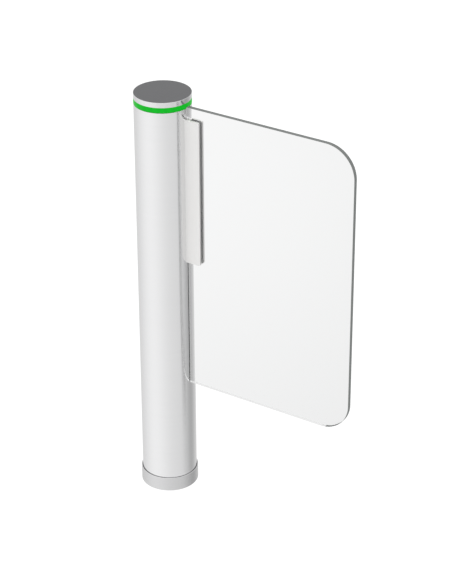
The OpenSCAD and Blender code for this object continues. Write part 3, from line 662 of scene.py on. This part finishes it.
class GateSizes(bpy.types.PropertyGroup):
    """Sizes of the small shapes that the frame leaves to the meshes."""

    tube_bevel: FloatProperty(
        name="Tube bevel", description="Bevel on the ends of the turning tube",
        default=0.4 * MM, min=0.1 * MM, max=0.8 * MM, unit="LENGTH", precision=5)
    collar_lip: FloatProperty(
        name="Collar lip", description="Radius of the rounded top of the foot collar",
        default=0.7 * MM, min=0.2 * MM, max=0.9 * MM, unit="LENGTH", precision=5)
    cap_bevel: FloatProperty(
        name="Cap bevel", description="Radius of the polished rim of the cap",
        default=0.5 * MM, min=0.2 * MM, max=0.7 * MM, unit="LENGTH", precision=5)
    glass_arris: FloatProperty(
        name="Glass arris", description="Ground arris along the edges of the glass",
        default=0.5 * MM, min=0.2 * MM, max=1.5 * MM, unit="LENGTH", precision=5)
    clamp_arris: FloatProperty(
        name="Clamp arris", description="Radius of the edges of the clamp plates",
        default=0.5 * MM, min=0.1 * MM, max=1.5 * MM, unit="LENGTH", precision=5)
    glass_corner: FloatProperty(
        name="Glass corner", description="Radius of the two outer corners of the glass",
        default=72 * MM, min=40 * MM, max=90 * MM, unit="LENGTH", precision=4)
    clamp_corner: FloatProperty(
        name="Clamp corner", description="Radius of the outer corners of the clamp plates",
        default=5 * MM, min=2 * MM, max=10 * MM, unit="LENGTH", precision=5)
    lamps: IntProperty(
        name="Lamps", description="Number of lamps under the light ring", default=24, min=12, max=36)


class GateColours(bpy.types.PropertyGroup):
    """Colours of the finishes that show from outside."""

    tube: FloatVectorProperty(
        name="Tube", description="Colour of the satin steel tube",
        default=(0.84, 0.84, 0.845), subtype="COLOR", min=0, max=1)
    collar: FloatVectorProperty(
        name="Collar", description="Colour of the foot collar",
        default=(0.70, 0.70, 0.705), subtype="COLOR", min=0, max=1)
    cap: FloatVectorProperty(
        name="Cap rim", description="Colour of the polished cap",
        default=(0.80, 0.80, 0.81), subtype="COLOR", min=0, max=1)
    disc: FloatVectorProperty(
        name="Cap disc", description="Colour of the disc in the cap",
        default=(0.072, 0.073, 0.077), subtype="COLOR", min=0, max=1)
    # Black rubber, and also painted shade: this near black gives the gap at the clamp's end its dark line.
    gasket: FloatVectorProperty(
        name="Gasket", description="Colour of the gaskets in the clamp",
        default=(0.08, 0.08, 0.08), subtype="COLOR", min=0, max=1)
    # Painted light: this pale colour on the gaskets' glass side lights up what would lie in the shade of the
    # clamp's slot.
    painted_light_tape: FloatVectorProperty(
        name="Gasket tape", description="Colour of the pale tape between the gaskets and the glass",
        default=(0.6, 0.6, 0.6), subtype="COLOR", min=0, max=1)
    light: FloatVectorProperty(
        name="Light ring", description="Colour of the lit ring",
        default=(0.002, 0.44, 0.016), subtype="COLOR", min=0, max=1)
    clamp: FloatVectorProperty(
        name="Clamp", description="Colour of the satin aluminium clamp",
        default=(0.90, 0.895, 0.885), subtype="COLOR", min=0, max=1)
    glass: FloatVectorProperty(
        name="Glass", description="Tint that the glass takes in its depth",
        default=(0.50, 0.54, 0.54), subtype="COLOR", min=0, max=1)
    # Painted shade: this dark grey on the ground edges of the glass stands in for the darkness that the light
    # gives them.
    edge: FloatVectorProperty(
        name="Ground edge", description="Colour of the ground edges of the glass",
        default=(0.19, 0.20, 0.195), subtype="COLOR", min=0, max=1)
    glass_depth: FloatProperty(
        name="Glass depth", description="How fast the glass takes its tint", default=7.0, min=0, max=100)


class GateStage(bpy.types.PropertyGroup):
    """The camera and the light."""

    distance: FloatProperty(
        name="Camera distance", description="From the column axis to the camera, along the floor",
        default=4.1428, min=1, max=10, unit="LENGTH")
    height: FloatProperty(
        name="Camera height", description="Height of the camera above the floor",
        default=2.7646, min=0, max=6, unit="LENGTH")
    swing: FloatProperty(
        name="Camera swing", description="Turn of the camera round the column, from the front",
        default=math.radians(34.897), subtype="ANGLE")
    pan: FloatProperty(
        name="Camera pan", description="Turn of the camera away from the column axis",
        default=math.radians(-1.888), subtype="ANGLE")
    tilt: FloatProperty(
        name="Camera tilt", description="How far the camera looks down",
        default=math.radians(28.659), subtype="ANGLE")
    roll: FloatProperty(
        name="Camera roll", description="Turn of the camera about its line of sight",
        default=math.radians(-0.269), subtype="ANGLE")
    lens: FloatProperty(
        name="Lens", description="Focal length of the camera in millimetres", default=126.77, min=20, max=300)
    glow: FloatProperty(
        name="Floor glow", description="Light that the pale floor gives off", default=0.98, min=0, max=3)
    room: FloatProperty(
        name="Room light", description="Brightness of the room round the column", default=0.80, min=0, max=3)


# ---------- pieces ----------


class GatePiece:
    """What the operators that build pieces share."""

    bl_options = {"REGISTER", "UNDO"}

    @property
    def sizes(self):
        return bpy.context.scene.gate_sizes

    @property
    def colours(self):
        return bpy.context.scene.gate_colours


class GATE_OT_turning_tube(GatePiece, bpy.types.Operator):
    """Builds the satin steel tube that turns round the mast"""

    bl_idname = "gate.turning_tube"
    bl_label = "Turning Tube"

    def execute(self, context):
        low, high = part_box("sleeve_tube")
        outer = high.x
        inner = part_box("lower_hub")[1].x
        bevel = self.sizes.tube_bevel
        foot, head = low.z + 20 * MM, high.z - 20 * MM
        outline = arc_corners([
            (inner, low.z, bevel), (outer, low.z, bevel), (outer, foot, 0), (outer, head, 0),
            (outer, high.z, bevel), (inner, high.z, bevel), (inner, head, 0), (inner, foot, 0)])
        tube = thing_from("turning_tube", lathe(outline, COLUMN_TURNS))
        holes = [screw.hole(0.3 * MM) for screw in screws_of("clamp_bolts")]
        holes += [screw.hole() for screw in screws_of("hub_screws")]
        combine(tube, joined(holes))
        satin = brushed("tube_steel", self.colours.tube, rough=0.11, anisotropic=0.3, turn=0.25)
        settle(tube, "sleeve_tube", satin)
        return {"FINISHED"}


class GATE_OT_foot_collar(GatePiece, bpy.types.Operator):
    """Builds the collar that covers the foot of the column"""

    bl_idname = "gate.foot_collar"
    bl_label = "Foot Collar"

    def execute(self, context):
        low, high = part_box("base_collar")
        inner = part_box("sleeve_tube")[1].x + 1 * MM
        lip = self.sizes.collar_lip
        outline = arc_corners([
            (inner, low.z, 0.3 * MM), (high.x, low.z, 0.5 * MM), (high.x, high.z, lip), (inner, high.z, lip)])
        collar = thing_from("foot_collar", lathe(outline, COLUMN_TURNS))
        settle(collar, "base_collar", brushed("collar_steel", self.colours.collar, rough=0.22))
        return {"FINISHED"}


class GATE_OT_light_ring(GatePiece, bpy.types.Operator):
    """Builds the lit green ring under the cap"""

    bl_idname = "gate.light_ring"
    bl_label = "Light Ring"

    def execute(self, context):
        low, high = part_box("led_ring")
        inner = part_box("led_board")[1].x + 2 * MM
        outline = arc_corners([
            (inner, low.z, 0.4 * MM), (high.x, low.z, 0.6 * MM),
            (high.x, high.z, 0.6 * MM), (inner, high.z, 0.4 * MM)])
        ring = thing_from("light_ring", lathe(outline, COLUMN_TURNS))
        settle(ring, "led_ring", lit_acrylic("light_green", self.colours.light, self.sizes.lamps))
        return {"FINISHED"}


class GATE_OT_head_cap(GatePiece, bpy.types.Operator):
    """Builds the polished cap and the dark disc that lies in it"""

    bl_idname = "gate.head_cap"
    bl_label = "Head Cap"

    def execute(self, context):
        low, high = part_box("top_cap")
        disc_low, disc_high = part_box("cap_inlay")
        rim_r = high.x
        pocket_r = disc_high.x + 0.2 * MM
        bevel = self.sizes.cap_bevel
        hollow_out, hollow_in = rim_r - 4.5 * MM, 24 * MM
        hollow_top = disc_low.z - 3 * MM
        outline = arc_corners([
            (0, low.z, 0), (hollow_in, low.z, 0.3 * MM), (hollow_in, hollow_top, 0.8 * MM),
            (hollow_out, hollow_top, 0.8 * MM), (hollow_out, low.z, 0.3 * MM),
            (rim_r, low.z, 0.3 * MM), (rim_r, high.z, bevel),
            (pocket_r, high.z, 0.2 * MM), (pocket_r, disc_low.z, 0.1 * MM), (0, disc_low.z, 0)])
        cap = thing_from("head_cap", lathe(outline, COLUMN_TURNS))
        combine(cap, joined([screw.hole() for screw in screws_of("cap_screws")]))
        settle(cap, "top_cap", polished("cap_steel", self.colours.cap))
        disc_outline = arc_corners([
            (0, disc_low.z, 0), (disc_high.x, disc_low.z, 0.2 * MM),
            (disc_high.x, disc_high.z, 0.4 * MM), (0, disc_high.z, 0)])
        disc = thing_from("cap_disc", lathe(disc_outline, COLUMN_TURNS))
        settle(disc, "cap_inlay", disc_enamel("inlay_grey", self.colours.disc))
        return {"FINISHED"}


class GATE_OT_glass_leaf(GatePiece, bpy.types.Operator):
    """Builds the toughened glass leaf with its notch, round corners and ground edges, whose dark grey is
    painted shade
    """

    bl_idname = "gate.glass_leaf"
    bl_label = "Glass Leaf"

    def execute(self, context):
        low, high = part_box("glass_leaf")
        grip_low, grip_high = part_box("clamp_body")
        notch_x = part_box("clamp_gaskets")[0].x + PAD
        gap = 2.5 * MM
        corner, inner = self.sizes.glass_corner, 2.4 * MM
        outline = arc_corners([
            (low.x, low.z, 1 * MM), (high.x, low.z, corner), (high.x, high.z, corner),
            (low.x, high.z, 1 * MM), (low.x, grip_high.z + gap, 1 * MM),
            (notch_x, grip_high.z + gap, inner), (notch_x, grip_low.z - gap, inner),
            (low.x, grip_low.z - gap, 1 * MM)], steps=24)
        leaf = thing_from("glass_leaf_pane", slab(outline, low.y, high.y, self.sizes.glass_arris, steps=2))
        # The top and far edges take the dark grey edge finish, which is painted shade.
        for face in leaf.data.polygons:
            painted_shade_edge = len(face.vertices) <= 4
            face.material_index = int(painted_shade_edge and max(face.normal.x, face.normal.z) > 0.2)
        tint = self.colours.glass
        settle(leaf, "glass_leaf", clear_glass("leaf_glass", tint, 0.0, 0.012, 1.0),
               clear_glass("glass_edge_painted_shade", tint, 0.4, 0.1, 0.12, self.colours.edge))
        return {"FINISHED"}


class GATE_OT_clamp(GatePiece, bpy.types.Operator):
    """Builds the clamp body and its cover plate, with the countersinks and holes of their screws"""

    bl_idname = "gate.clamp"
    bl_label = "Clamp"

    def execute(self, context):
        low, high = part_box("clamp_body")
        cover_low, cover_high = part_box("clamp_front_plate")
        tube_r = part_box("sleeve_tube")[1].x
        root_x = tube_r - 3 * MM
        web_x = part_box("clamp_gaskets")[0].x
        arris = self.sizes.clamp_arris
        plate = plate_outline(root_x, high.x, low.z, high.z, self.sizes.clamp_corner)
        web = plate_outline(root_x, web_x, low.z, high.z, 0)
        satin = brushed("clamp_satin", self.colours.clamp, rough=0.5, grain=0.25 * MM, lie=(30, 30, 1),
                        anisotropic=0.3)
        below, above = low.z - 10 * MM, high.z + 10 * MM
        bore = lathe([(0, below), (tube_r, below), (tube_r, above), (0, above)], COLUMN_TURNS)
        screws = screws_of("clamp_screws")
        body = thing_from("clamp_frame", slab(plate, -cover_high.y, high.y, arris))
        combine(body, slab(web, cover_high.y, -cover_high.y + 1 * MM, 0), "UNION")
        combine(body, bore.copy())
        combine(body, joined([screw.hole() for screw in screws]))
        settle(body, "clamp_body", satin)
        cover = thing_from("clamp_cover", slab(plate, cover_low.y, cover_high.y, arris))
        combine(cover, bore)
        combine(cover, joined([screw.hole() for screw in screws]))
        settle(cover, "clamp_front_plate", satin)
        return {"FINISHED"}


class GATE_OT_clamp_gaskets(GatePiece, bpy.types.Operator):
    """Builds the two gaskets that line the clamp, and the pad at its root; their black is partly painted
    shade for the dark gap, and the pale tape on their glass side is painted light where the slot lies in
    shade
    """

    bl_idname = "gate.clamp_gaskets"
    bl_label = "Clamp Gaskets"

    def execute(self, context):
        low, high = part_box("clamp_gaskets")
        play, rim, arris = 0.05 * MM, 0.5 * MM, 0.1 * MM
        glass_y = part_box("glass_leaf")[1].y + play
        pad_x = low.x + PAD
        sheet = plate_outline(pad_x, high.x, low.z + rim, high.z - rim, self.sizes.clamp_corner)
        pad = plate_outline(low.x, pad_x - play, low.z, high.z, 0)
        sides = ((sheet, glass_y, high.y), (sheet, low.y, -glass_y), (pad, -glass_y, glass_y))
        strips = [slab(outline, y0, y1, arris, steps=2) for outline, y0, y1 in sides]
        gaskets = thing_from("gasket_strips", joined(strips))
        # The faces that lie against the glass take the pale tape: painted light in the shaded slot.
        for face in gaskets.data.polygons:
            painted_light_face = abs(abs(face.center.y) - glass_y) < 0.01 * MM and face.center.x > pad_x
            face.material_index = int(painted_light_face and abs(face.normal.y) > 0.9)
        settle(gaskets, "clamp_gaskets", rubber("gasket_rubber", self.colours.gasket),
               rubber("gasket_painted_light", self.colours.painted_light_tape))
        return {"FINISHED"}


class GATE_OT_fasteners(GatePiece, bpy.types.Operator):
    """Builds every screw and bolt, each with its socket, its chamfers and its rolled thread"""

    bl_idname = "gate.fasteners"
    bl_label = "Fasteners"

    def execute(self, context):
        plated = zinc("screw_steel", (0.60, 0.60, 0.60), 0.3)
        for node in SCREW_WAYS:
            solids = [screw.solid() for screw in screws_of(node)]
            settle(thing_from(node + "_cut", joined(solids)), node, plated)
        return {"FINISHED"}


class GATE_OT_frame_finishes(GatePiece, bpy.types.Operator):
    """Gives each CAD node that still shows the finish of its slot"""

    bl_idname = "gate.frame_finishes"
    bl_label = "Frame Finishes"

    def execute(self, context):
        drive = (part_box("motor_housing")[0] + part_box("motor_housing")[1]) / 2
        motor = (drive.x, drive.y)
        makers = {
            "tube_steel": lambda: brushed("tube_steel_inner", self.colours.tube),
            "seal_rubber": lambda: rubber("seal_rubber", (0.025, 0.025, 0.027)),
            "foot_steel": lambda: zinc("foot_steel", (0.42, 0.43, 0.44)),
            "mast_steel": lambda: zinc("mast_steel", (0.46, 0.47, 0.48)),
            "bracket_steel": lambda: zinc("bracket_steel", (0.52, 0.53, 0.54)),
            "earth_brass": lambda: turned("earth_brass", (0.72, 0.54, 0.24), 0.28),
            "cage_brass": lambda: turned("cage_brass", (0.70, 0.50, 0.22), 0.25),
            "gear_bronze": lambda: turned("gear_bronze", (0.62, 0.43, 0.20), 0.3),
            "bush_bronze": lambda: turned("bush_bronze", (0.52, 0.34, 0.18), 0.4, motor),
            "bearing_steel": lambda: polished("bearing_steel", (0.72, 0.72, 0.73)),
            "shaft_steel": lambda: polished("shaft_steel", (0.66, 0.66, 0.67), 0.14),
            "spring_steel": lambda: blackened("spring_steel", (0.10, 0.10, 0.11)),
            "stop_steel": lambda: blackened("stop_steel", (0.12, 0.12, 0.125)),
            "magnet_grey": lambda: coated("magnet_grey", (0.10, 0.10, 0.105), 0.45),
            "hub_aluminium": lambda: turned("hub_aluminium", (0.66, 0.67, 0.68)),
            "gearhead_steel": lambda: turned("gearhead_steel", (0.45, 0.45, 0.46), 0.34, motor),
            "gear_steel": lambda: turned("gear_steel", (0.48, 0.48, 0.50), 0.3, motor),
            "motor_black": lambda: coated("motor_black", (0.025, 0.025, 0.028)),
            "motor_plastic": lambda: coated(
                "motor_plastic", (0.03, 0.03, 0.03), 0.5, 0.5 * MM, 0.015 * MM),
            "winding_copper": lambda: wound("winding_copper", (0.62, 0.26, 0.12), motor),
            "board_green": lambda: circuit("board_green", (0.02, 0.16, 0.06)),
            "component_black": lambda: coated(
                "component_black", (0.03, 0.03, 0.032), 0.45, 0.3 * MM, 0.01 * MM),
            "lamp_white": lambda: lamp_lens("lamp_white", (0.85, 0.88, 0.78)),
        }
        made = {}
        for name, node in frame["nodes"].items():
            if node.hide_render:
                continue
            slot = SLOTS[name]
            if slot not in made:
                made[slot] = makers[slot]()
            node.data.materials.clear()
            node.data.materials.append(made[slot])
            self.soften(node)
        return {"FINISHED"}

    def soften(self, node):
        """Breaks the sharp edges of a CAD node with modifiers, and leaves its mesh as it is."""
        if len(node.data.vertices) > HEAVY:
            return
        low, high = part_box(node.name)
        weld = node.modifiers.new("weld", "WELD")
        weld.merge_threshold = 0.001 * MM
        flat = node.modifiers.new("flat", "DECIMATE")
        flat.decimate_type = "DISSOLVE"
        flat.angle_limit = math.radians(0.5)
        bevel = node.modifiers.new("bevel", "BEVEL")
        bevel.width = min(0.25 * MM, 0.06 * min(high - low))
        bevel.segments = 2
        bevel.limit_method = "ANGLE"
        bevel.angle_limit = SHARP
        node.modifiers.new("even_normals", "WEIGHTED_NORMAL")


class GATE_OT_stage(GatePiece, bpy.types.Operator):
    """Builds the pale floor, the soft light and the camera"""

    bl_idname = "gate.stage"
    bl_label = "Stage"

    def execute(self, context):
        stage = context.scene.gate_stage
        self.make_floor(stage)
        self.make_room(context.scene, stage)
        self.make_camera(context.scene, stage)
        context.scene.view_settings.view_transform = "Standard"
        return {"FINISHED"}

    def make_floor(self, stage):
        reach = 40.0
        solid = bmesh.new()
        bmesh.ops.create_grid(solid, x_segments=8, y_segments=8, size=reach)
        floor = thing_from("studio_floor", solid)
        floor.location.z = -0.2 * MM
        finish = Finish("floor_white", Emission_Strength=stage.glow, Specular_IOR_Level=0.0)
        cloud = finish.noise(0.6, detail=2.0)
        finish.set("Base Color", finish.mix(cloud, (0.10, 0.10, 0.10), (0.12, 0.12, 0.12)))
        finish.set("Emission Color", (1.0, 1.0, 1.0))
        finish.set("Roughness", 0.9)
        floor.data.materials.append(finish.material)
        floor.visible_glossy = False
        floor.visible_transmission = False

    def make_room(self, scene, stage):
        """A bright room: lighter on the camera's left, darker on its right and brightest overhead."""
        scene.world = bpy.data.worlds.new("soft_room")
        scene.world.use_nodes = True
        room = Nodes(scene.world.node_tree)
        direction = room.add("TexCoord", output="Generated")
        front = stage.swing - math.pi / 2

        def lobe(turn, rise, narrow):
            """1 towards a direction, falling to 0 away from it."""
            angle = front + math.radians(turn)
            lift = math.radians(rise)
            aim = (math.cos(angle) * math.cos(lift), math.sin(angle) * math.cos(lift), math.sin(lift))
            along = room.add("VectorMath", {"operation": "DOT_PRODUCT"}, {0: direction, 1: aim}, "Value")
            return (along * 0.5 + 0.5) ** narrow

        level = 1.0 + 0.28 * lobe(-62, -20, 4.0) - 0.46 * lobe(104, -20, 16.0) - 0.12 * lobe(180, -10, 3.0)
        level = level + 1.4 * lobe(0, 90, 8.0) + 0.32 * lobe(180, -24, 60.0)
        level = level * (1.0 - 0.88 * self.flag(room, direction))
        light = room.add("Background", inputs={"Color": (1.0, 1.0, 1.0, 1.0), "Strength": level * stage.room})
        room.add("OutputWorld", inputs={"Surface": light})

    def flag(self, room, direction):
        """1 in a slim dark strip that hangs beyond the leaf's far end and bends away near its foot."""
        turn = math.radians(5.8)
        top, bend, foot = 0.36, 0.490, 0.518
        half, fade, reach = 0.03, 0.09, 0.22
        aside = (-math.sin(turn), math.cos(turn), 0.0)
        away = room.add("VectorMath", {"operation": "DOT_PRODUCT"}, {0: direction, 1: aside}, "Value")
        ahead = room.split(direction)
        drop = ahead.other("Z") * -1.0
        off = abs(away - drop.between(bend, foot) * reach)
        return (1.0 - off.between(half, fade)) * (ahead > 0.0) * drop.between(top, top + 0.02) * (drop < foot)

    def make_camera(self, scene, stage):
        camera = bpy.data.objects.new("camera", bpy.data.cameras.new("camera"))
        scene.collection.objects.link(camera)
        scene.camera = camera
        camera.data.lens = stage.lens
        camera.data.sensor_width = 36
        camera.data.clip_end = 200
        spot = Vector((math.sin(stage.swing), -math.cos(stage.swing), 0)) * stage.distance
        spot.z = stage.height
        camera.matrix_world = (
            Matrix.Translation(spot) @ Matrix.Rotation(stage.swing + stage.pan, 4, "Z")
            @ Matrix.Rotation(math.pi / 2 - stage.tilt, 4, "X") @ Matrix.Rotation(stage.roll, 4, "Z"))


# ---------- add-on ----------


OPERATORS = (
    GATE_OT_turning_tube, GATE_OT_foot_collar, GATE_OT_light_ring, GATE_OT_head_cap,
    GATE_OT_glass_leaf, GATE_OT_clamp, GATE_OT_clamp_gaskets, GATE_OT_fasteners,
    GATE_OT_frame_finishes, GATE_OT_stage)


class GATE_PT_panel(bpy.types.Panel):
    """Lists the operators and the settings"""

    bl_idname = "GATE_PT_panel"
    bl_label = "Gate Column"
    bl_space_type = "VIEW_3D"
    bl_region_type = "UI"
    bl_category = "Gate Column"

    def draw(self, context):
        for operator in OPERATORS:
            self.layout.operator(operator.bl_idname)
        for group in (context.scene.gate_sizes, context.scene.gate_colours, context.scene.gate_stage):
            box = self.layout.box()
            for name in group.__annotations__:
                box.prop(group, name)


CLASSES = (GateSizes, GateColours, GateStage, *OPERATORS, GATE_PT_panel)


def register():
    for cls in CLASSES:
        bpy.utils.register_class(cls)
    bpy.types.Scene.gate_sizes = PointerProperty(type=GateSizes)
    bpy.types.Scene.gate_colours = PointerProperty(type=GateColours)
    bpy.types.Scene.gate_stage = PointerProperty(type=GateStage)


def unregister():
    del bpy.types.Scene.gate_stage
    del bpy.types.Scene.gate_colours
    del bpy.types.Scene.gate_sizes
    for cls in reversed(CLASSES):
        bpy.utils.unregister_class(cls)


def main():
    register()
    for operator in OPERATORS:
        group, name = operator.bl_idname.split(".")
        getattr(getattr(bpy.ops, group), name)()


if __name__ == "__main__":
    main()
